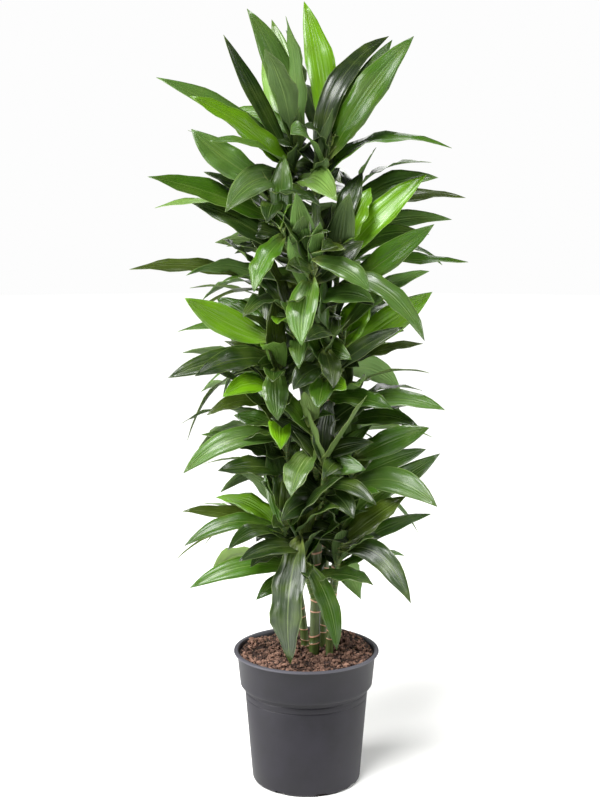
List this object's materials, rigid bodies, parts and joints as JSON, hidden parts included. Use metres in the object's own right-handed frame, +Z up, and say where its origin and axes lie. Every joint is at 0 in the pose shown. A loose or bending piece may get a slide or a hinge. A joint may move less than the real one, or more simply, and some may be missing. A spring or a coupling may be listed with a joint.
{
  "type": "potted corn plant",
  "caption": "Tall leafy dracaena house plant: ringed canes with strap-leaved side shoots, standing in a plain round nursery pot filled with bark soil.",
  "frame": {"origin": "the middle of the pot's flat underside, where it rests", "axes": "+Z up along the pot's axis and the canes; the side of the plant that the picture shows faces -Y, with +X to its right"},
  "size_m": [0.68, 0.5396, 1.585],
  "materials": {
    "pot_plastic": "dark grey injection-moulded polypropylene with a satin moulded skin",
    "bark_soil": "loose matt brown bark and coir crumbs",
    "cane_bark": "green-brown cane ringed with pale tan leaf scars",
    "leaf": "glossy leathery leaves with fine lengthwise ribs, from lime to dark green"
  },
  "bodies": {
    "root": {"pot": "pot_plastic", "soil": "bark_soil", "tall_cane": "cane_bark", "middle_cane": "cane_bark", "left_cane": "cane_bark", "right_cane": "cane_bark", "top_middle_shoot": "leaf", "top_right_shoot": "leaf", "upper_left_shoot": "leaf", "upper_right_shoot": "leaf", "back_right_shoot": "leaf", "upper_front_shoot": "leaf", "left_front_shoot": "leaf", "left_back_shoot": "leaf", "middle_left_shoot": "leaf", "middle_shoot": "leaf", "middle_right_shoot": "leaf", "front_shoot": "leaf", "low_left_front_shoot": "leaf", "low_left_shoot": "leaf", "low_middle_shoot": "leaf", "low_right_back_shoot": "leaf", "low_front_shoot": "leaf", "low_right_shoot": "leaf", "base_left_shoot": "leaf", "base_front_shoot": "leaf", "base_right_shoot": "leaf", "back_upper_shoot": "leaf", "back_middle_shoot": "leaf", "back_left_shoot": "leaf", "back_low_shoot": "leaf", "back_base_shoot": "leaf", "back_base_left_shoot": "leaf"}
  },
  "joints": []
}
